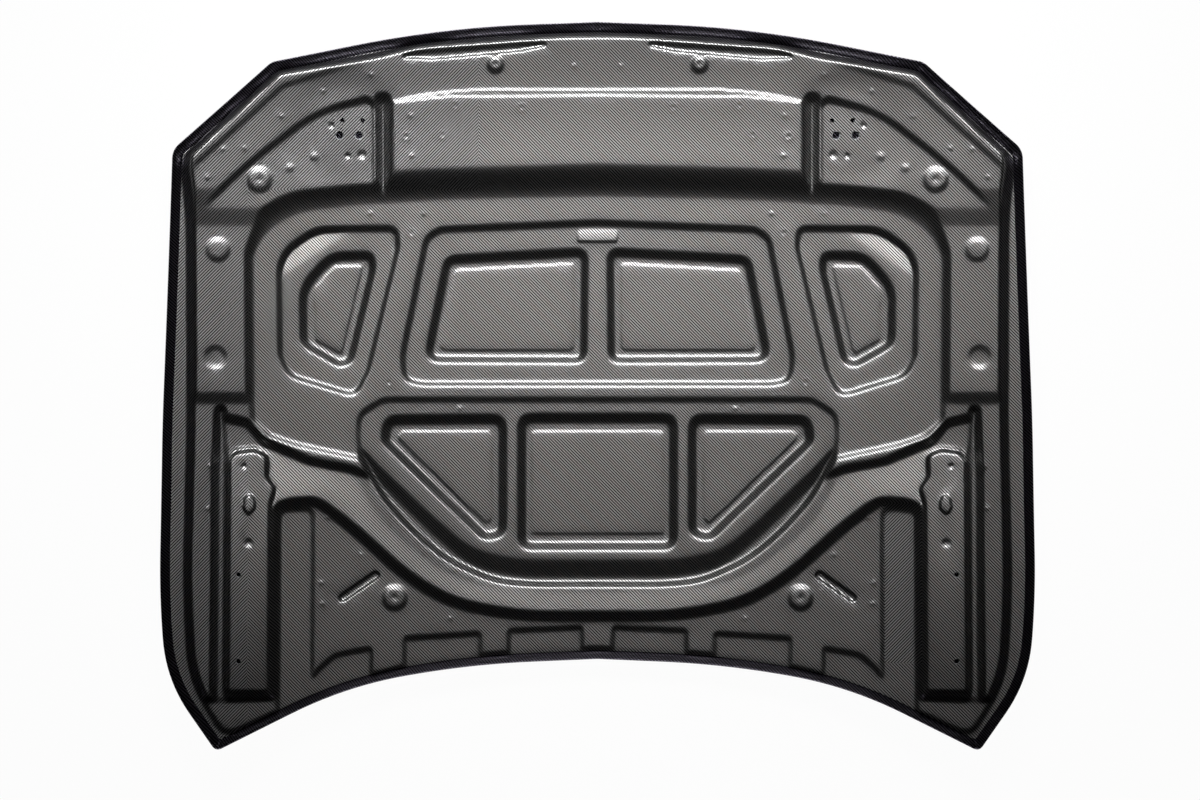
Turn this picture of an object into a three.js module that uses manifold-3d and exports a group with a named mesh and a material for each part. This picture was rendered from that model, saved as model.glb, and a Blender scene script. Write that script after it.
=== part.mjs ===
// A car bonnet of woven carbon laminate, lying on its outer skin with the underside up.
// Millimetres: +X runs across the car, +Y towards the nose and +Z out of the underside.
//
// The skin is a shallow bowl with a turned-up edge. The inner frame is one pressed sheet with beams,
// ledges, pockets and bosses. Both are drawn flat, made as sheets, and then bent to the same crown.

import * as THREE from 'three';
import Module from 'manifold-3d';

const wasm = await Module();
wasm.setup();

// Driving dimensions of the whole panel
const panelWidth = 1504; // across the rear corners
const panelLength = 1252; // from the nose to the tips of the rear corners
const crownAcross = 58; // how far the long edges stand above the middle
const crownAlong = 40; // how far nose and rear stand above the lowest point
const noseLift = 10; // what the nose curls up beyond that
const noseCurl = 220; // length of the curled stretch behind the nose

// Laminates and the bond between them
const skinThickness = 2;
const frameThickness = 2.5;
const bondGap = 0.5;
const edgeGap = 1.5; // between the frame's edge and the foot of the skin's turned-up edge

// The skin's turned-up edge: its height, and how wide its sloping inner face is
const rimHeight = 17;
const rimWidthFront = 13;
const rimWidthSide = 12;
const rimWidthRear = 11;

// Height of each surface of the frame above the skin, before the crown is put in
const frontLand = 45;
const centrePanel = 39.5;
const latchPad = 35.5;
const railFront = 31;
const hingePad = 29;
const channelFloor = 24;
const railRear = 25;
const field = 20;
const band = 18.5;
const veeLand = 16;
const ledge = 14;
const valley = 9;
const rearLand = 7.5;
const pocketFloor = 4.4;
const plateauRise = 1.3;
const noseChannelDepth = 4;
const landStepDepth = 2.5;
const ribPadRise = 3;
const beadDepth = 3.4;
const bumpRise = 3;
const flange = frameThickness + bondGap;
const rearPocket = flange + 0.6;

// How far the walls lean, in millimetres across for one millimetre up
const steep = 0.3;
const drafted = 0.9;
const sloping = 2.6;

// Round marks and holes
const bossRise = 4;
const dimpleDepth = 3;
const cornerBossRadius = 20;
const rearBossRadius = 20;
const noseBossRadius = 12;
const railBossRadius = 17;
const latchHoleRadius = 7;
const latchPinRadius = 4;
const hingeHoleRadius = 4.6;

// Metal plates and nuts under the pads
const plateThickness = 3;
const seatGap = 0.3; // between a plate and what it lies against
const hingePlateInner = 32; // from the bolt holes towards the middle of the car
const hingePlateOuter = 12; // and towards its side
const hingePlateOverhang = 24; // beyond the outer bolt holes
const latchPlateMargin = 16; // round the latch holes
const nutAcrossFlats = 13;
const nutHeight = 6.5;
const latchNutAcrossFlats = 21;
const latchNutHeight = 8;

// The layout below is drawn for one size of panel and stretched to the sizes above.
const drawn = { halfWidth: 752, nose: 623, tip: -629 };
const stretchX = panelWidth / (2 * drawn.halfWidth);
const stretchY = panelLength / (drawn.nose - drawn.tip);
const crownCentre = 20 * stretchY;

const roundSteps = 10;
const smallRadius = 30; // a corner with a smaller fillet is drawn with one facet
const soft = 4000; // a shallow bend, rounded as far as its neighbours allow
const outside = 900; // for forms that run off the edge of the panel
const skinSag = 0.3;
const frameSag = 1.3;
const skinStride = 110; // the longest stretch between two points of the skin's rings
const underside = -4; // everything is built up from here, below the lowest sheet
const clearHeight = frontLand + 8;

// Outlines. A corner is written [x, y, fillet radius, lean of the wall that leaves it].

function draw(corners, wallLean = steep) {
  return corners.map(([x, y, radius = 0, lean = wallLean]) => {
    const steps = radius === 0 ? 0 : radius < smallRadius ? 1 : 2;
    return { x: x * stretchX, y: y * stretchY, radius, lean, steps };
  });
}

/** Closes a half outline that runs from the centre line at the nose to the centre line at the rear. */
function closed(half) {
  const last = { ...half.at(-1), lean: half.at(-2).lean };
  const far = half.slice(1, -1).map((corner, i) => ({ ...corner, x: -corner.x, lean: half[i].lean }));
  return [...half.slice(0, -1), last, ...far.reverse()];
}

/** The mirror image of an outline, again clockwise. */
function flipped(outline) {
  const leans = outline.map((corner) => corner.lean);
  return outline.map((corner, i) => ({ ...corner, x: -corner.x, lean: leans.at(i - 1) })).reverse();
}

function circle(x, y, radius, lean = steep) {
  return Array.from({ length: roundSteps }, (_, i) => {
    const angle = (-2 * Math.PI * i) / roundSteps;
    const px = x * stretchX + radius * Math.cos(angle);
    return { x: px, y: y * stretchY + radius * Math.sin(angle), radius: 0, lean, steps: 0 };
  });
}

function wallNormal(from, to) {
  return new THREE.Vector2(from.y - to.y, to.x - from.x).normalize();
}

/** Moves each wall of a clockwise outline outwards by its own distance. */
function moved(outline, distanceOf) {
  return outline.map((corner, i) => {
    const before = outline.at(i - 1);
    const after = outline[(i + 1) % outline.length];
    const a = wallNormal(before, corner);
    const b = wallNormal(corner, after);
    const da = distanceOf(before, i);
    const db = distanceOf(corner, i);
    const cross = a.x * b.y - a.y * b.x;
    const nearlyStraight = Math.abs(cross) < 0.12;
    const dx = nearlyStraight ? (a.x * da + b.x * db) / 2 : (da * b.y - db * a.y) / cross;
    const dy = nearlyStraight ? (a.y * da + b.y * db) / 2 : (a.x * db - b.x * da) / cross;
    const turn = cross < 0 ? 1 : -1;
    const radius = corner.steps ? Math.max(1, corner.radius + (turn * (da + db)) / 2) : 0;
    return { ...corner, x: corner.x + dx, y: corner.y + dy, radius };
  });
}

/** The points of an outline with its corners rounded. */
function ring(outline) {
  return outline.flatMap((corner, i) => {
    const here = new THREE.Vector2(corner.x, corner.y);
    if (!corner.steps) return [here];
    const back = outline.at(i - 1);
    const next = outline[(i + 1) % outline.length];
    const toBack = new THREE.Vector2(back.x, back.y).sub(here);
    const toNext = new THREE.Vector2(next.x, next.y).sub(here);
    const half = toBack.angleTo(toNext) / 2;
    const room = 0.48 * Math.min(toBack.length(), toNext.length());
    const reach = Math.min(corner.radius / Math.tan(half), room);
    const start = here.clone().addScaledVector(toBack.normalize(), reach);
    const end = here.clone().addScaledVector(toNext.normalize(), reach);
    return new THREE.QuadraticBezierCurve(start, here, end).getPoints(corner.steps);
  });
}

function solidOf(points, faces) {
  return new wasm.Manifold(
    new wasm.Mesh({
      numProp: 3,
      vertProperties: new Float32Array(points),
      triVerts: new Uint32Array(faces),
    }),
  );
}

function geometryOf(solid) {
  const { vertProperties, triVerts } = solid.getMesh();
  const geometry = new THREE.BufferGeometry();
  geometry.setAttribute('position', new THREE.Float32BufferAttribute(vertProperties, 3));
  geometry.setIndex(Array.from(triVerts));
  return geometry;
}

/** A solid between two rings of equally many points at two heights. */
function loft(lowerRing, upperRing, lowerHeight, upperHeight) {
  const clockwise = THREE.ShapeUtils.area(lowerRing) < 0;
  const lower = clockwise ? [...lowerRing].reverse() : lowerRing;
  const upper = clockwise ? [...upperRing].reverse() : upperRing;
  const count = lower.length;
  const points = [
    ...lower.flatMap((p) => [p.x, p.y, lowerHeight]),
    ...upper.flatMap((p) => [p.x, p.y, upperHeight]),
  ];
  const faces = [];
  for (const [a, b, c] of THREE.ShapeUtils.triangulateShape(lower, [])) faces.push(a, c, b);
  for (const [a, b, c] of THREE.ShapeUtils.triangulateShape(upper, [])) {
    faces.push(a + count, b + count, c + count);
  }
  for (let i = 0; i < count; i++) {
    const next = (i + 1) % count;
    faces.push(i, next, next + count, i, next + count, i + count);
  }
  return solidOf(points, faces);
}

/** How far a leaning wall's foot moves when the sheet's other face is drawn. */
function wallShift(lean, thickness) {
  return thickness * (Math.sqrt(1 + lean * lean) - lean);
}

// A pressing is drawn at its own surface: a press at its foot, a raise at its top.

const press = (height, outline) => ({ raises: false, height, outline });
const raise = (height, outline) => ({ raises: true, height, outline });
const onFaceOnly = (pressing) => ({ ...pressing, onFaceOnly: true });
const both = (pressing) => [pressing, { ...pressing, outline: flipped(pressing.outline) }];

function pressingTool({ raises, height, outline }, thickness) {
  const side = raises ? -1 : 1;
  const surface = height - thickness;
  const near = thickness > 0 ? moved(outline, (c) => side * wallShift(c.lean, thickness)) : outline;
  const other = raises ? underside : clearHeight;
  const far = moved(near, (c) => c.lean * Math.abs(other - surface));
  return raises
    ? loft(ring(far), ring(near), underside, surface)
    : loft(ring(near), ring(far), surface, clearHeight);
}

// The panel's outline and its turned-up edge

const panelOutline = closed(
  draw([
    [0, 623, 0, rimWidthFront],
    [190, 616, soft, rimWidthFront],
    [345, 597, soft, rimWidthFront],
    [559, 553, 34, rimWidthFront],
    [729, 402, 36, rimWidthSide],
    [747, -60, soft, rimWidthSide],
    [751, -360, soft, rimWidthSide],
    [739, -506, soft, rimWidthSide],
    [653, -629, 14, rimWidthRear],
    [430, -519, soft, rimWidthRear],
    [215, -483, soft, rimWidthRear],
    [0, -474],
  ]),
).map((corner) => ({ ...corner, lean: corner.lean / rimHeight }));

const rimFoot = moved(panelOutline, (c) => {
  const edgeWidth = skinThickness * Math.sqrt(1 + c.lean * c.lean);
  return -(c.lean * rimHeight + edgeWidth);
});
const frameOutline = moved(rimFoot, () => -edgeGap);

// Pressed forms of the inner frame, each drawn on the right-hand side or across the middle

const beam = raise(
  frontLand,
  closed(
    draw([
      [0, 598, 0, 0.15],
      [75, 597, soft, 0.15],
      [311, 579, soft, 0.15],
      [374, 562, soft, 0.15],
      [545, 532, 20, 0.15],
      [697, 393, 20, 0.5],
      [685, 300, soft, 0.5],
      [684, -60, soft, 0.5],
      [690, -350, soft, 0.5],
      [680, -500, soft, 0.5],
      [628, -586, 14, steep],
      [419, -491, soft, steep],
      [213, -454, soft, steep],
      [0, -445],
    ]),
  ),
);

const landStep = press(
  frontLand - landStepDepth,
  draw([
    [379, 553, 20, drafted],
    [432, 543, soft, drafted],
    [538, 509, 30, drafted],
    [688, 375, 0, drafted],
    [735, 262, 0, steep],
    [600, 300, 0, steep],
    [384, 440, 0, 8],
  ]),
);

const noseChannel = press(
  frontLand - noseChannelDepth,
  draw([
    [90, 584.5, 0, 2.4],
    [311, 568.4, 10, 2.4],
    [336, 562, 4, drafted],
    [281, 562.6, 20, drafted],
    [133, 575.6, 20, drafted],
  ]),
);

const railStep = press(
  railFront,
  draw([[-outside, 277, 0, sloping], [outside, 277], [outside, -outside], [-outside, -outside]]),
);
const railDrop = press(
  railRear,
  draw([[-outside, -30, 0, 2], [outside, -30], [outside, -outside], [-outside, -outside]]),
);

const latchPadOutline = draw([
  [384, 488, 14, 1.1],
  [463, 468, soft, 1.1],
  [503, 447, soft, 1.1],
  [601, 373, soft, 1.1],
  [680, 296, 0, 1.1],
  [735, 262],
  [735, 200],
  [384, 200],
]);

const panelStep = press(
  centrePanel,
  closed(draw([[0, 493, 0, 2], [260, 493, soft, 1.2], [353, 489, 8], [353, 250], [0, 250]])),
);

const channel = press(
  channelFloor,
  draw([[361, 487, 7], [376, 487, 7], [378, 320], [361, 320]]),
);

const opening = press(
  field,
  closed(
    draw([
      [0, 325, 0, 2.6],
      [254, 320, soft, 2.6],
      [426, 309, soft, 2.6],
      [520, 295, soft, 2.4],
      [573, 262, 120, 2],
      [592, 222, 30, 1.1],
      [590, -62, 18, 1.4],
      [563, -86, 30, 1.4],
      [520, -101, soft, 1.4],
      [405, -126, 20, 1.4],
      [0, -126],
    ]),
  ),
);

const upperLedge = press(
  ledge,
  closed(
    draw([
      [0, 276, 0],
      [271, 264, 20],
      [293, 250, 22],
      [335, 44, soft],
      [329, 8, 24],
      [300, 3, 16],
      [0, 3],
    ], drafted),
  ),
);

const sideLedge = press(
  ledge,
  draw([
    [484, 264, 24],
    [349, 266, 14],
    [347, 236, 20],
    [398, 26, 30],
    [419, -17, 20],
    [530, 17, 40],
    [544, 50, 30],
    [546, 222, 40],
  ].reverse(), drafted),
);

const veeRegion = press(
  valley,
  closed(
    draw([
      [0, -37, 0, drafted],
      [366, -37, 22, drafted],
      [401, -58, 22, drafted],
      [405, -118, 30, 0.5],
      [372, -190, soft, 0.5],
      [313, -255, soft, 0.5],
      [258, -301, soft, 0.5],
      [180, -336, soft, 0.5],
      [120, -343, soft, 0.5],
      [0, -343],
    ]),
  ),
);

const veeLandForm = raise(
  veeLand,
  closed(
    draw([
      [0, -20, 0, steep],
      [400, -20, 10, steep],
      [424, -60, 10, steep],
      [414, -106, 30, 3],
      [368, -150, soft, 3.2],
      [270, -242, soft, 4],
      [214, -287, soft, 4.6],
      [133, -304, soft, 4.8],
      [0, -304],
    ]),
  ),
);

const bandForm = press(
  band,
  draw([
    [0, -200],
    [372, -168, 10, 0.9],
    [433, -150, 40, 0.9],
    [498, -137, 40, 0.9],
    [579, -103, 30, 0.9],
    [604, -72, 10, 0.9],
    [646, -62],
    [646, -outside],
    [0, -outside],
  ]),
);

const rearLandForm = press(
  rearLand,
  closed(
    draw([
      [0, -408, 0, 1.2],
      [133, -408, soft, 1.2],
      [258, -384, soft, 1.4],
      [335, -338, soft, 1.4],
      [430, -252, soft, 1.3],
      [489, -208, 24, 1],
      [552, -212, 12, steep],
      [554, -540, 0, steep],
      [outside, -545],
      [outside, -outside],
      [0, -outside],
    ]),
  ),
);

const sideValley = press(
  rearPocket,
  draw([[493, -216, 14, 1.2], [548, -218, 14], [548, -486, 12], [493, -474, 12, 1.2]]),
);

const padSlot = press(
  valley,
  draw([[645, -44, 2], [651, -44, 2], [655, -150, 20], [656, -620], [637, -620], [638, -150, 20]]),
);

const hingePadOutline = draw([
  [634, -131, 8],
  [622, -118, 10],
  [590, -114, 20],
  [569, -124, 10],
  [569, -160, 14],
  [555, -180, 12],
  [563, -208, 14],
  [563, -528, 8],
  [634, -528, 8],
]).reverse();

const padBump = raise(
  hingePad + bumpRise,
  draw([[592, -192, 8], [604, -192, 8], [608, -212, 10], [600, -225, 8], [588, -212, 10]]),
);

const upperPocket = press(
  pocketFloor,
  draw([[27, 223, 10], [255, 210, 14], [288, 48, 14], [29, 47, 10]], 1.1),
);
const upperPlateau = raise(
  pocketFloor + plateauRise,
  draw([[42, 209, 6], [246, 197, 8], [274, 60, 8], [42, 60, 6]]),
);
const sidePocket = press(
  pocketFloor,
  draw([
    [394, 217, 12],
    [458, 215, 22],
    [503, 164, 22],
    [502, 73, 18],
    [445, 40, 14],
    [431, 44, 14],
    [394, 196, 12],
  ], 1.1),
);
const sidePlateau = raise(
  pocketFloor + plateauRise,
  draw([[406, 205, 6], [453, 204, 10], [488, 165, 8], [486, 76, 8], [446, 54, 6], [441, 58, 6]]),
);
const cornerPocket = press(
  pocketFloor,
  draw([[170, -66, 14], [357, -68, 14], [361, -96, 12], [192, -258, 16], [170, -252, 10]], 1.1),
);
const cornerPlateau = raise(
  pocketFloor + plateauRise,
  draw([[185, -81, 8], [340, -81, 8], [345, -94, 6], [194, -240, 8], [185, -236, 4]]),
);
const middlePocket = press(
  pocketFloor,
  closed(draw([[0, -65], [125, -65, 12], [125, -274, 12], [0, -274]], 1.1)),
);
const middlePlateau = raise(
  pocketFloor + plateauRise,
  closed(draw([[0, -82], [114, -82, 8], [114, -259, 8], [0, -259]])),
);

const ribPad = raise(
  ledge + ribPadRise,
  closed(draw([[0, 271], [34, 271, 4], [34, 246, 4], [0, 246]], 0.6)),
);

const rearTab = (inner, outer, y, fall) =>
  press(
    rearPocket,
    draw([[inner, y, 4], [outer, y - fall, 4], [outer, y - fall - 60], [inner, y - 60]], 0.8),
  );

const cornerTab = press(
  rearPocket,
  draw([[391, -457, 4], [451, -468, 20], [474, -487, 20], [494, -509, 4], [494, -580], [391, -560]], 0.8),
);

const bead = press(
  rearLand - beadDepth,
  draw([[446, -367, 4], [440, -375, 4], [376, -331, 4], [382, -323, 4]], 0.5),
);

const pressings = [
  beam,
  ...both(noseChannel),
  ...both(landStep),
  railStep,
  railDrop,
  ...both(press(latchPad, latchPadOutline)),
  panelStep,
  ...both(channel),
  opening,
  upperLedge,
  ...both(sideLedge),
  veeRegion,
  veeLandForm,
  ...both(bandForm),
  rearLandForm,
  ...both(sideValley),
  ...both(padSlot),
  ...both(raise(hingePad, hingePadOutline)),
  ...both(padBump),
  ...both(upperPocket),
  ...both(onFaceOnly(upperPlateau)),
  ...both(sidePocket),
  ...both(onFaceOnly(sidePlateau)),
  ...both(cornerPocket),
  ...both(onFaceOnly(cornerPlateau)),
  middlePocket,
  onFaceOnly(middlePlateau),
  onFaceOnly(ribPad),
  ...both(rearTab(28, 152, -422, 5)),
  ...both(rearTab(204, 331, -432, 8)),
  ...both(cornerTab),
  ...both(bead),
  ...both(raise(frontLand + bossRise, circle(175, 549, noseBossRadius))),
  ...both(raise(latchPad + bossRise, circle(580, 351, cornerBossRadius))),
  ...both(raise(railFront + bossRise, circle(651, 231, railBossRadius))),
  ...both(press(railFront - dimpleDepth, circle(656, 46, railBossRadius))),
  ...both(raise(rearLand + bossRise, circle(350, -368, rearBossRadius))),
];

// The crown, and the flat pads that keep to one plane in it

function crown(x, y) {
  const across = (2 * x) / panelWidth;
  const along = (2 * (y - crownCentre)) / panelLength;
  const curl = Math.max(0, (y - (drawn.nose * stretchY - noseCurl)) / noseCurl);
  return crownAcross * across * across + crownAlong * along * along + noseLift * curl * curl;
}

function tangentPlane(x, y) {
  const slopeX = (crown(x + 1, y) - crown(x - 1, y)) / 2;
  const slopeY = (crown(x, y + 1) - crown(x, y - 1)) / 2;
  return (px, py) => crown(x, y) + slopeX * (px - x) + slopeY * (py - y);
}

const hingeHoles = [[616, -327], [615, -475]].map(([x, y]) => [x * stretchX, y * stretchY]);
const latchHoles = [[410, 427], [443, 427]].map(([x, y]) => [x * stretchX, y * stretchY]);
const latchPins = [[403, 453], [438, 453]].map(([x, y]) => [x * stretchX, y * stretchY]);
const middleOf = ([a, b]) => [(a[0] + b[0]) / 2, (a[1] + b[1]) / 2];
const hingePlane = tangentPlane(...middleOf(hingeHoles));
const latchPlane = tangentPlane(...middleOf(latchHoles));

const flatPads = [
  { height: hingePad, outline: hingePadOutline, plane: hingePlane },
  { height: latchPad, outline: latchPadOutline, plane: latchPlane },
].map((pad) => ({ ...pad, outline: moved(pad.outline, () => 4) }));

function isInside(outline, x, y) {
  let inside = false;
  outline.forEach((a, i) => {
    const b = outline.at(i - 1);
    if (a.y > y !== b.y > y && x < ((b.x - a.x) * (y - a.y)) / (b.y - a.y) + a.x) inside = !inside;
  });
  return inside;
}

/** The lift of a point of the frame: the crown, or the plane of the pad that it lies on. */
function frameLift(x, y, z) {
  const side = Math.abs(x);
  const pad = flatPads.find(({ height, outline }) => {
    const onFace = Math.abs(z - height) < 0.02 || Math.abs(z - height + frameThickness) < 0.02;
    return onFace && isInside(outline, side, y);
  });
  return pad ? pad.plane(side, y) : crown(x, y);
}

/** Splits a solid's long edges until each follows the crown, then lifts its points. */
function bent(solid, lift, sag) {
  const { vertProperties, triVerts } = solid.getMesh();
  const points = [];
  for (let i = 0; i < vertProperties.length; i += 3) {
    points.push(Array.from(vertProperties.slice(i, i + 3)));
  }
  let triangles = [];
  for (let i = 0; i < triVerts.length; i += 3) triangles.push(Array.from(triVerts.slice(i, i + 3)));
  const keyOf = (a, b) => (a < b ? `${a} ${b}` : `${b} ${a}`);
  const isSagging = (p, q) => {
    const [x, y] = [(p[0] + q[0]) / 2, (p[1] + q[1]) / 2];
    return crown(p[0], p[1]) / 2 + crown(q[0], q[1]) / 2 - crown(x, y) > sag;
  };
  const length = (p, q) => Math.hypot(p[0] - q[0], p[1] - q[1]);
  for (;;) {
    const middles = new Map();
    for (const corners of triangles) {
      const edges = corners.map((a, i) => [a, corners[(i + 1) % 3]]);
      const long = edges.filter(([a, b]) => isSagging(points[a], points[b]));
      if (long.length === 0) continue;
      long.sort((e, f) => length(points[f[0]], points[f[1]]) - length(points[e[0]], points[e[1]]));
      const [a, b] = long[0];
      if (middles.has(keyOf(a, b))) continue;
      middles.set(keyOf(a, b), points.push(points[a].map((v, axis) => (v + points[b][axis]) / 2)) - 1);
    }
    if (middles.size === 0) break;
    const middle = (a, b) => middles.get(keyOf(a, b)) ?? -1;
    triangles = triangles.flatMap(([a, b, c]) => {
      const [ab, bc, ca] = [middle(a, b), middle(b, c), middle(c, a)];
      const cuts = [ab, bc, ca].filter((m) => m >= 0).length;
      if (cuts === 0) return [[a, b, c]];
      if (cuts === 3) return [[a, ab, ca], [ab, b, bc], [ca, bc, c], [ab, bc, ca]];
      if (cuts === 1) {
        if (ab >= 0) return [[a, ab, c], [ab, b, c]];
        if (bc >= 0) return [[a, b, bc], [a, bc, c]];
        return [[a, b, ca], [ca, b, c]];
      }
      if (ab < 0) return [[c, ca, bc], [ca, a, bc], [a, b, bc]];
      if (bc < 0) return [[a, ab, ca], [ab, b, ca], [b, c, ca]];
      return [[b, bc, ab], [bc, c, ab], [c, a, ab]];
    });
  }
  const lifted = points.flatMap(([x, y, z]) => [x, y, z + lift(x, y, z)]);
  return solidOf(lifted, triangles.flat());
}

const mirrored = (solid) => solid.mirror([1, 0, 0]);

/** Bends one half of a sheet and joins it to its mirror image, so that both sides are alike. */
function bentInHalves(sheet, lift, sag) {
  const half = bent(sheet.trimByPlane([1, 0, 0], 0), lift, sag);
  return half.add(mirrored(half));
}

// The two laminates

/** Adds points to a ring so that no stretch of it is longer than the stride. */
function divided(points) {
  return points.flatMap((point, i) => {
    const next = points[(i + 1) % points.length];
    const count = Math.ceil(skinWalk[i] / skinStride);
    return Array.from({ length: count }, (_, k) => point.clone().lerp(next, k / count));
  });
}

const panelRing = ring(panelOutline);
const skinWalk = panelRing.map((p, i) => p.distanceTo(panelRing[(i + 1) % panelRing.length]));

/** The skin is skinned over rings: out over its face, round the turned-up edge and back inside. */
function skinSolid() {
  const lip = moved(panelOutline, (c) => -skinThickness * Math.sqrt(1 + c.lean * c.lean));
  const outerFoot = moved(panelOutline, (c) => -c.lean * (rimHeight + skinThickness));
  const shares = [0.16, 0.32, 0.48, 0.64, 0.8, 0.92];
  const shrunk = (points, share) => points.map((p) => p.clone().multiplyScalar(share));
  const outside = divided(ring(outerFoot));
  const inside = divided(ring(rimFoot));
  const rings = [
    ...shares.map((share) => [shrunk(outside, share), -skinThickness]),
    [outside, -skinThickness],
    [divided(panelRing), rimHeight],
    [divided(ring(lip)), rimHeight],
    [inside, 0],
    ...shares.map((share) => [shrunk(inside, share), 0]).reverse(),
  ];
  const count = outside.length;
  const points = [0, 0, -skinThickness];
  for (const [ringPoints, height] of rings) points.push(...ringPoints.flatMap((p) => [p.x, p.y, height]));
  const last = points.push(0, 0, 0) / 3 - 1;
  const faces = [];
  for (let i = 0; i < count; i++) {
    const next = (i + 1) % count;
    faces.push(0, 1 + i, 1 + next, last, last - count + next, last - count + i);
    for (let row = 1; row + count < last; row += count) {
      const far = row + count;
      faces.push(row + i, far + i, far + next, row + i, far + next, row + next);
    }
  }
  return solidOf(points, faces);
}

function frameFace(thickness) {
  const reach = thickness > 0 ? 10 : 0;
  const base = moved(frameOutline, () => reach);
  const depth = thickness > 0 ? underside - 2 : underside;
  let face = loft(ring(base), ring(base), depth, flange - thickness);
  for (const pressing of pressings) {
    if (thickness > 0 && pressing.onFaceOnly) continue;
    const tool = pressingTool(pressing, thickness);
    face = pressing.raises ? face.add(tool) : face.subtract(tool);
  }
  return face;
}

function post([x, y], radius, bottom, top, sides = roundSteps, turn = 0) {
  const rim = Array.from({ length: sides }, (_, i) => {
    const angle = turn + (2 * Math.PI * i) / sides;
    return new THREE.Vector2(x + radius * Math.cos(angle), y + radius * Math.sin(angle));
  });
  return loft(rim, rim, bottom, top);
}

const onLeft = ([x, y]) => [-x, y];
const throughHole = (place, radius) => post(place, radius, underside, clearHeight);

function frameSolid() {
  const trim = loft(ring(frameOutline), ring(frameOutline), bondGap / 2, clearHeight);
  let sheet = frameFace(0).subtract(frameFace(frameThickness)).intersect(trim);
  const holes = [
    ...hingeHoles.map((place) => [place, hingeHoleRadius]),
    ...latchHoles.map((place) => [place, latchHoleRadius]),
    ...latchPins.map((place) => [place, latchPinRadius]),
  ];
  for (const [place, radius] of holes) {
    sheet = sheet.subtract(throughHole(place, radius));
    sheet = sheet.subtract(throughHole(onLeft(place), radius));
  }
  return sheet;
}

// Plates and nuts, drawn on the right and turned over for the left

function plateSolid(low, high, top, holes) {
  const [left, rear, right, front] = [low[0], low[1], high[0], high[1]];
  const corners = [[left, front], [right, front], [right, rear], [left, rear]];
  const outline = corners.map(([x, y]) => ({ x, y, radius: 6, lean: 0, steps: 2 }));
  let plate = loft(ring(outline), ring(outline), top - plateThickness, top);
  for (const [place, radius] of holes) {
    plate = plate.subtract(post(place, radius, top - 2 * plateThickness, top + plateThickness));
  }
  return plate;
}

function nutSolid(place, top, acrossFlats, height, bore) {
  const body = post(place, acrossFlats / Math.sqrt(3), top - height, top, 6);
  return body.subtract(post(place, bore, top - 2 * height, top + height));
}

const hingePlateTop = hingePad - frameThickness - seatGap;
const [hingeX, hingeY] = middleOf(hingeHoles);
const hingeReach = (hingeHoles[0][1] - hingeHoles[1][1]) / 2 + hingePlateOverhang;
const hingePlate = plateSolid(
  [hingeX - hingePlateInner, hingeY - hingeReach],
  [hingeX + hingePlateOuter, hingeY + hingeReach],
  hingePlateTop,
  hingeHoles.map((place) => [place, hingeHoleRadius]),
);

const latchPlateTop = latchPad - frameThickness - seatGap;
const latchPlate = plateSolid(
  [latchPins[0][0] - latchPlateMargin, latchHoles[0][1] - latchPlateMargin],
  [latchHoles[1][0] + latchPlateMargin, latchPins[1][1] + latchPlateMargin],
  latchPlateTop,
  [
    ...latchHoles.map((place) => [place, latchHoleRadius]),
    ...latchPins.map((place) => [place, latchPinRadius]),
  ],
);

// The assembly

const laminate = new THREE.MeshStandardMaterial({ color: 0x2b2b2e, roughness: 0.28 });
const skinLaminate = new THREE.MeshStandardMaterial({ color: 0x222225, roughness: 0.2 });
const zincSteel = new THREE.MeshStandardMaterial({ color: 0xa9adb0, roughness: 0.4, metalness: 1 });

const bonnet = new THREE.Group();

function place(name, solid, material) {
  const geometry = geometryOf(solid);
  geometry.computeVertexNormals();
  const mesh = new THREE.Mesh(geometry, material.clone());
  mesh.name = name;
  bonnet.add(mesh);
}

/** Places a solid under a pad on the right, and its mirror image on the left. */
function placePair(name, tail, solid, plane) {
  const right = bent(solid, plane, Infinity);
  place(`${name}_right${tail}`, right, zincSteel);
  place(`${name}_left${tail}`, mirrored(right), zincSteel);
}

place('outer_skin', bentInHalves(skinSolid(), crown, skinSag), skinLaminate);
place('inner_frame', bentInHalves(frameSolid(), frameLift, frameSag), laminate);
placePair('hinge_plate', '', hingePlate, hingePlane);
placePair('latch_plate', '', latchPlate, latchPlane);

const hingeNutTop = hingePlateTop - plateThickness - seatGap;
['_front', '_rear'].forEach((end, i) => {
  const nut = nutSolid(hingeHoles[i], hingeNutTop, nutAcrossFlats, nutHeight, hingeHoleRadius - 0.6);
  placePair('hinge_nut', end, nut, hingePlane);
});
const latchNutTop = latchPlateTop - plateThickness - seatGap;
['_inner', '_outer'].forEach((end, i) => {
  const nut = nutSolid(
    latchHoles[i],
    latchNutTop,
    latchNutAcrossFlats,
    latchNutHeight,
    latchHoleRadius - 0.8,
  );
  placePair('latch_nut', end, nut, latchPlane);
});

// The origin is the middle of the underside of the whole panel's box.
const box = new THREE.Box3().setFromObject(bonnet);
const centre = box.getCenter(new THREE.Vector3());
bonnet.position.set(-centre.x, -centre.y, -box.min.z);

export default bonnet;
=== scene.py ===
# %% [markdown]
# # A car bonnet of woven carbon laminate
# The bonnet lies on its outer skin, so we look at its underside. On the real panel two sheets are made in
# moulds from carbon cloth and clear resin: a smooth outer skin with a turned-up edge, and an inner frame
# pressed into beams, ledges, pockets and bosses. The frame is bonded into the skin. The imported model
# gives the places and sizes. Here we make the soft fillets and the cloth that a faceted solid can't show.

# %% Load the frame
import math

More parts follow.
